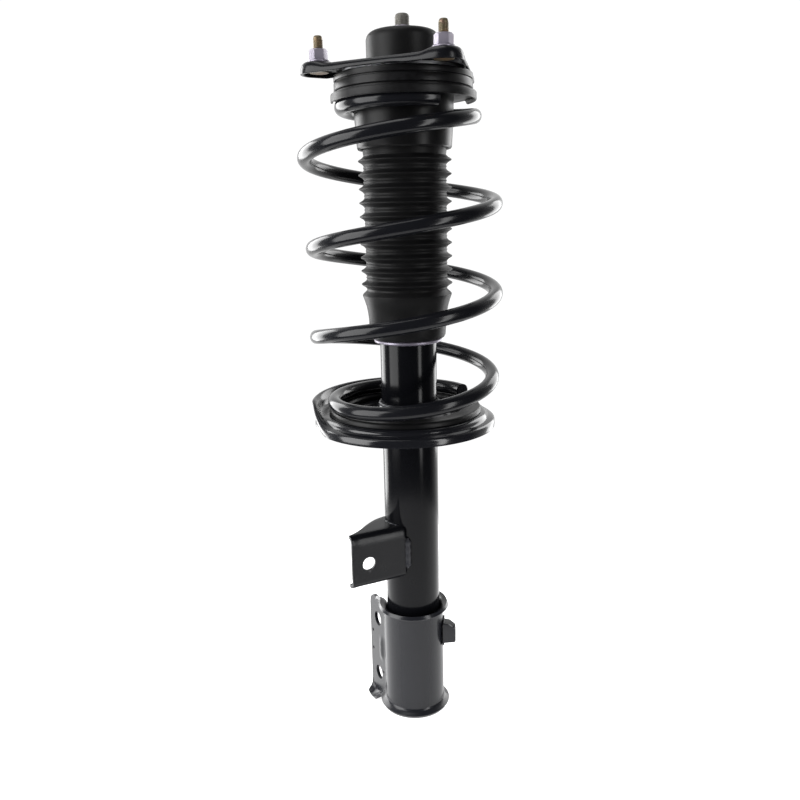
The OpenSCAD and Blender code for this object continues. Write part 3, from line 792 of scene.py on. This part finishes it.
# ---------- knuckle bracket ----------
def bracket_path():
    """Plan of the bent sheet's outer face, from one ear's end round the tube to the other's."""
    outer = TUBE_R + SHEET
    join_x = math.sqrt(outer * outer - EAR_Y * EAR_Y)
    join_angle = math.degrees(math.atan2(EAR_Y, join_x))
    straight = [(mix(EAR_END_X, join_x + 5.0, k / 22), EAR_Y) for k in range(23)]
    bend = []
    start = Vector((join_x + 5.0, EAR_Y))
    knee = Vector((join_x + 0.6, EAR_Y + 0.1))
    stop = Vector(polar(outer, join_angle + 9))
    for k in range(1, 8):
        t = k / 8
        bend.append(tuple(start * (1 - t) ** 2 + knee * 2 * t * (1 - t) + stop * t * t))
    half = straight + bend
    around = arc(0, 0, outer, join_angle + 9, 360 - join_angle - 9, 84)
    return half + around + [(x, -y) for x, y in reversed(half)]


def ear_limits(x):
    """Lowest and highest point of the bracket at that distance toward the knuckle."""
    corner_top, corner_bottom = 11.0, 12.0
    top = mix(SLEEVE_TOP_Z, SLEEVE_TOP_Z - 6, ease((x - 22) / 16))
    bottom = mix(SLEEVE_BOTTOM_Z, LOWEST_Z / MM + 0.3, ease((x - 16) / 26))
    if x > EAR_END_X - corner_top:
        reach = x - (EAR_END_X - corner_top)
        top -= corner_top - math.sqrt(max(corner_top ** 2 - reach ** 2, 0))
    if x > EAR_END_X - corner_bottom:
        reach = x - (EAR_END_X - corner_bottom)
        bottom += corner_bottom - math.sqrt(max(corner_bottom ** 2 - reach ** 2, 0))
    return bottom, top


def bend_out(t):
    """1 at the sheet's edge, falling along a quarter round to 0 at t = 1."""
    return 1 - math.sin(math.pi / 2 * min(t, 1.0))


def ear_dent(x, z):
    """Depth of the pressed rib in each ear, halfway between the bolts."""
    if x <= 20:
        return 0.0
    return 1.6 * math.exp(-(((x - 29) / 3.2) ** 2)) * ease((14 - abs(z + 542)) / 8)


def bracket_sheet():
    """The sheet round the tube, with lips at its top and bottom edges and drilled ears."""
    path = bracket_path()
    heights = 72
    verts = []
    for i, (x, y) in enumerate(path):
        before, after = path[max(i - 1, 0)], path[min(i + 1, len(path) - 1)]
        tangent = Vector((after[0] - before[0], after[1] - before[1])).normalized()
        outward = Vector((tangent.y, -tangent.x)) * -1
        if outward.dot(Vector((x - 30 if x > 20 else x, y))) < 0:
            outward = -outward
        bottom, top = ear_limits(x)
        top_lip = 5.2 * (1 - ease((x - 30) / 8))
        bottom_lip = mix(5.2, 7.5, ease((x - 24) / 8)) * (1 - ease((x - 49) / 6))
        for k in range(heights + 1):
            # rows crowd together at the lips
            t = 0.5 - 0.5 * math.cos(math.pi * k / heights)
            z = mix(bottom, top, t)
            flare = top_lip * bend_out((top - z) / 3.8) + bottom_lip * bend_out((z - bottom) / 4.6)
            push = flare + ear_dent(x, z)
            verts.append((x + outward.x * push, y + outward.y * push, z))
    sheet = make("knuckle_bracket_sheet", verts, grid_faces(len(path), heights + 1), BRACKET_PAINT, 50.0)
    # the outer face is modelled, so the thickness goes toward the tube
    middle = sheet.data.polygons[len(sheet.data.polygons) // 2]
    inside = -1.0 if middle.normal.dot(middle.center * Vector((1, 1, 0))) > 0 else 1.0
    thicken(sheet, SHEET, inside, 0.7)
    holes = [((BOLT_X, 0, z), (0, 1, 0), BOLT_HOLE_R, 80) for z in BOLT_ZS]
    holes += [((49.5, 0, z), (0, 1, 0), 1.6, 80) for z in (-531.0, -551.0)]
    holes += [((26.5, 0, -567.0), (0, 1, 0), 1.4, 80)]
    cut_holes(sheet, holes, 0.5)
    placed(sheet, "strut_body", "black_paint", "knuckle_bracket")


# ---------- link and hose brackets ----------
def link_bracket():
    """A channel: web, a gusseted top flange and a narrow bottom flange with bent corners."""
    web_x, top, bottom = -19.2, -398.5, -442.5
    near_y, far_y = 18.0, 70.0
    bend = 4.5
    stations = 26
    verts = []
    for i in range(stations + 1):
        t = i / stations
        y = mix(near_y, far_y, t)
        over = mix(31.0, 5.5, ease(t ** 1.25)) if y > 24 else 31.0
        under = mix(14.0, 6.5, t)
        section = [(web_x + under, bottom), (web_x + mix(bend, under, 0.5), bottom)]
        section += [(web_x + bend - p, bottom + bend - q) for p, q in arc(0, 0, bend, 90, 0, 6)]
        section += [(web_x, mix(bottom + bend, top - bend, k / 12)) for k in range(1, 12)]
        section += [(web_x + bend - p, top - bend + q) for p, q in arc(0, 0, bend, 0, 90, 6)]
        section += [(web_x + mix(bend, over, k / 5), top) for k in range(1, 6)]
        flare = 1.6 * ease((y - 62) / 8)
        for x, z in section:
            curl = flare * max(0.0, abs(z - (top + bottom) / 2) / 22 - 0.55)
            verts.append((x - curl, y, z))
    cols = len(verts) // (stations + 1)
    bracket = make("link_bracket_sheet", verts, grid_faces(stations + 1, cols), PLATE_PAINT, 50.0)
    middle = bracket.data.polygons[len(bracket.data.polygons) // 2]
    thicken(bracket, 3.0, -1.0 if middle.normal.x < 0 else 1.0, 0.6)
    link_hole = ((web_x, 54.0, -423.0), (1, 0, 0), 6.25, 30)
    tube_hole = ((0, 0, -420.0), (0, 0, 1), TUBE_R - 0.3, 90)
    cut_holes(bracket, [link_hole, tube_hole])
    placed(bracket, "strut_body", "black_paint", "sway_link_bracket")


def clip_panel(name, outline, origin, right, up):
    """One flat side of the clip: outline in (right, up) millimetres, thick along their cross product."""
    out = right.cross(up).normalized() * 1.8
    front = [origin + right * u + up * v for u, v in outline]
    verts = [tuple(p) for p in front] + [tuple(p + out) for p in front]
    panel = make(name, verts, tube_faces(2, len(outline)), BRACKET_PAINT)
    bevel(panel, 0.4)
    return apply_modifiers(panel)


def join(name, parts):
    """One object from several meshes."""
    bm = bmesh.new()
    for part in parts:
        bm.from_mesh(part.data)
    mesh = bpy.data.meshes.new(name)
    bm.to_mesh(mesh)
    bm.free()
    mesh.materials.append(parts[0].data.materials[0])
    obj = bpy.data.objects.new(name, mesh)
    bpy.context.collection.objects.link(obj)
    for part in parts:
        bpy.data.objects.remove(part)
    return obj


def hose_bracket():
    """A clip of four panels on the sleeve: back, face, roof and front tab."""
    angle = -122.0
    out = Vector((*polar(1, angle), 0))
    side = Vector((*polar(1, angle + 90), 0))
    up = Vector((0, 0, 1))
    foot = out * (TUBE_R + SHEET - 0.3)
    low, high = -524.5, -498.5
    depth = 12.6
    back_outline = [(-8, low), (8.3, low), (8.3, high - 2), (4, high), (-8, high - 3)]
    face_outline = [(0.5, low + 3.5), (depth, low + 5), (depth, high - 7), (6, high - 2.4), (0.5, high - 2)]
    roof_outline = [(0.5, -8), (depth, -8), (depth, -3.4), (7, 5), (0.5, 7)]
    tab_outline = [(-7.6, low + 5), (-1.0, low + 6.5), (-1.0, high - 9), (-7.6, high - 7)]
    back = clip_panel("hose_back", rounded(back_outline, 2.0), foot, side, up)
    face = clip_panel("hose_face", rounded(face_outline, 1.2), foot + side * -7.6, out, up)
    roof = clip_panel("hose_roof", rounded(roof_outline, 1.4), foot + up * (high - 6.5), out, side)
    tab = clip_panel("hose_tab", rounded(tab_outline, 1.2), foot + out * 10.9, side, up)
    placed(join("hose_bracket_folded", [back, face, roof, tab]), "strut_body", "black_paint", "hose_bracket")


# ---------- welds ----------
def weld(name, points, radius):
    """A rippled bead along the points, flatter than it is wide."""
    spacing = 0.35
    flat = 0.75
    length = sum((Vector(b) - Vector(a)).length for a, b in zip(points, points[1:]))
    count = max(int(length / spacing), 12)
    centres = []
    for i in range(count + 1):
        place = i / count * (len(points) - 1)
        k = min(int(place), len(points) - 2)
        centres.append(Vector(points[k]).lerp(Vector(points[k + 1]), place - k))
    verts = []
    sides = 14
    for i, centre in enumerate(centres):
        ahead = (centres[min(i + 1, count)] - centres[max(i - 1, 0)]).normalized()
        out = Vector((centre.x, centre.y, 0)).normalized()
        across = ahead.cross(out).normalized()
        rise = across.cross(ahead).normalized()
        t = i / count
        taper = max(min(1.0, 8 * t, 8 * (1 - t)), 0.25) ** 0.5
        ripple = 1 + 0.09 * abs(math.sin(i * spacing / 1.5 * math.pi))
        ripple += 0.07 * math.sin(i * 0.31 + radius * 9)
        for k in range(sides):
            u, v = polar(radius * taper * ripple, 360.0 * k / sides)
            verts.append(tuple(centre + across * u + rise * v * flat))
    return make(name, verts, tube_faces(len(centres), sides), WELD_PAINT, 70.0)


def ring_points(radius, z, start, stop, steps):
    """Points of a level arc round the strut."""
    return [(*polar(radius, mix(start, stop, i / steps)), z) for i in range(steps + 1)]


def upright(radius, degrees, bottom, top):
    """The two ends of a vertical seam."""
    return [(*polar(radius, degrees), bottom), (*polar(radius, degrees), top)]


def welds():
    """Seams at the seat, the link bracket, the hose clip and both sides of the stiffener."""
    on_tube = TUBE_R + 0.8
    on_sleeve = TUBE_R + SHEET + 0.6
    beads = [
        weld("weld_seat_top", ring_points(TUBE_R + 1.2, SEAT_FLOOR_Z + 9.4, 0, 360, 60), 2.0),
        weld("weld_seat_under", ring_points(TUBE_R + 0.9, SEAT_FLOOR_Z - 2.2, 0, 360, 60), 1.6),
        weld("weld_link_web", upright(on_tube, 143.0, -436.0, -407.0), 3.3),
        weld("weld_link_top", ring_points(on_tube, -397.8, 72, 128, 14), 2.7),
        weld("weld_link_under", ring_points(on_tube, -442.8, 96, 126, 10), 1.9),
        weld("weld_hose", upright(on_sleeve, -104.5, -520.0, -506.0), 1.3),
    ]
    for side, y in (("near", 17.6), ("far", -17.6)):
        beads.append(weld(f"weld_stiffener_{side}", [(27.4, y, -573.0), (27.4, y, -497.0)], 1.7))
    for bead in beads:
        placed(bead, "strut_body", "black_paint")
    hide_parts("weld_beads")


# ---------- CAD nodes that keep their own meshes ----------
KEPT = {
    "mount_rubber": HAT_RUBBER, "mount_core": MACHINED, "bump_stop_cup": PLATE_PAINT,
    "bump_stop": STOP_FOAM, "rebound_stop": PTFE, "piston": MACHINED, "piston_band": PTFE,
    "piston_nut": BRIGHT_ZINC, "bearing_upper_race": MACHINED, "bearing_lower_race": MACHINED,
    "bearing_balls": ROD_CHROME, "rod_guide": MACHINED, "oil_seal": PAD_RUBBER, "inner_cylinder": MACHINED,
    "base_valve": MACHINED, "base_cup": PLATE_PAINT, "bracket_stiffener": BRACKET_PAINT,
}


def dress_kept_nodes():
    """Gives the CAD's own meshes their materials."""
    for name, material in KEPT.items():
        mesh = NODES[name].data
        mesh.materials.clear()
        mesh.materials.append(material)


# ---------- studio ----------
VIEW_AHEAD = Vector((0.9003, -0.4352, 0.0))
VIEW_RIGHT = Vector((-0.4352, -0.9003, 0.0))
MIDDLE = Vector((0, 0, -0.3))
SKY_STRENGTH = 1.05


def emitter(name, place, size, power):
    """A white rectangular lamp aimed at the middle of the strut."""
    light = bpy.data.lights.new(name, "AREA")
    light.shape = "RECTANGLE"
    light.size, light.size_y = size
    light.energy = power
    obj = bpy.data.objects.new(name, light)
    obj.location = place
    obj.rotation_euler = (MIDDLE - place).to_track_quat("-Z", "Y").to_euler()
    bpy.context.collection.objects.link(obj)


def from_camera_side(right, toward, height):
    """A place right of the strut, toward the camera and up, in metres."""
    return VIEW_RIGHT * right - VIEW_AHEAD * toward + Vector((0, 0, height))


def sky(tree):
    """White behind the strut and dark before it, so that the paint stays black where it faces us."""
    place = tree.nodes.new("ShaderNodeTexCoord")
    facing = tree.nodes.new("ShaderNodeVectorMath")
    facing.operation = "DOT_PRODUCT"
    facing.inputs[1].default_value = VIEW_AHEAD
    tree.links.new(place.outputs["Generated"], facing.inputs[0])
    shifted = tree.nodes.new("ShaderNodeMapRange")
    shifted.inputs["From Min"].default_value = -1.0
    tree.links.new(facing.outputs["Value"], shifted.inputs["Value"])
    ramp = tree.nodes.new("ShaderNodeValToRGB")
    ramp.color_ramp.elements[0].position = 0.5
    ramp.color_ramp.elements[0].color = (0.07, 0.07, 0.076, 1)
    ramp.color_ramp.elements[1].position = 0.82
    ramp.color_ramp.elements[1].color = (1.0, 1.0, 1.0, 1)
    tree.links.new(shifted.outputs["Result"], ramp.inputs["Fac"])
    return ramp.outputs["Color"]


def studio():
    """A white backdrop, a sky that is dark in front and five soft lamps."""
    world = bpy.data.worlds.new("studio")
    world.use_nodes = True
    tree = world.node_tree
    bpy.context.scene.world = world
    bpy.context.scene.view_settings.view_transform = "Standard"
    lit = tree.nodes["Background"]
    lit.inputs["Strength"].default_value = SKY_STRENGTH
    tree.links.new(sky(tree), lit.inputs["Color"])
    # the backdrop itself is plain white from every side
    backdrop = tree.nodes.new("ShaderNodeBackground")
    backdrop.inputs["Color"].default_value = (1.0, 1.0, 1.0, 1)
    backdrop.inputs["Strength"].default_value = SKY_STRENGTH
    choice = tree.nodes.new("ShaderNodeMixShader")
    seen = tree.nodes.new("ShaderNodeLightPath")
    tree.links.new(seen.outputs["Is Camera Ray"], choice.inputs["Fac"])
    tree.links.new(lit.outputs["Background"], choice.inputs[1])
    tree.links.new(backdrop.outputs["Background"], choice.inputs[2])
    tree.links.new(choice.outputs["Shader"], tree.nodes["World Output"].inputs["Surface"])

    emitter("key_left", from_camera_side(-1.15, 0.55, 0.0), (1.0, 1.7), 40)
    emitter("fill_right", from_camera_side(0.9, 0.9, -0.1), (0.26, 1.6), 11)
    emitter("top", from_camera_side(-0.3, 0.0, 1.3), (0.8, 0.8), 6)
    emitter("back_left", from_camera_side(-1.0, -0.8, -0.2), (0.7, 1.5), 24)
    emitter("back_right", from_camera_side(0.9, -0.9, -0.1), (0.6, 1.4), 12)


def floor():
    """A pale disc just under the strut, small enough not to show in the tube."""
    radius, sides = 480.0, 96
    n = Nodes("pale_floor")
    n.link(
        n.colours(n.noise(3.0), [(0.3, (0.6, 0.6, 0.6)), (0.7, (0.64, 0.64, 0.64))]),
        n.shader.inputs["Base Color"],
    )
    n.shader.inputs["Roughness"].default_value = 0.9
    n.shader.inputs["Emission Color"].default_value = (1, 1, 1, 1)
    n.shader.inputs["Emission Strength"].default_value = 0.88
    z = LOWEST_Z / MM - 0.1
    edge = [(*polar(radius, 360.0 * k / sides), z) for k in range(sides)]
    make("floor", edge, [tuple(range(sides))], n.material)


def camera():
    """The camera looks level with the spring, pitched down, and leans a little."""
    pitch = math.radians(13.29)
    lean = 0.0225
    ahead = VIEW_AHEAD.normalized() * math.cos(pitch) - Vector((0, 0, math.sin(pitch)))
    right = VIEW_RIGHT.normalized()
    up = right.cross(ahead)
    data = bpy.data.cameras.new("camera")
    data.sensor_width = 36.0
    data.lens = 36.0
    data.clip_start = 0.05
    data.clip_end = 30.0
    obj = bpy.data.objects.new("camera", data)
    turned_right = (right - up * lean).normalized()
    turned_up = (up + right * lean).normalized()
    turn = Matrix((turned_right, turned_up, -ahead)).transposed()
    obj.matrix_world = Matrix.Translation((-0.6292, 0.3136, -0.118)) @ turn.to_4x4()
    bpy.context.collection.objects.link(obj)
    bpy.context.scene.camera = obj


camera()
studio()
floor()
mount_plate()
mount_hat()
tower_fasteners()
rod_end()
upper_seat()
upper_pad()
coil_spring()
dust_boot()
damper()
seat_rim()
seat_dome()
lower_pad()
bracket_sheet()
link_bracket()
hose_bracket()
welds()
dress_kept_nodes()
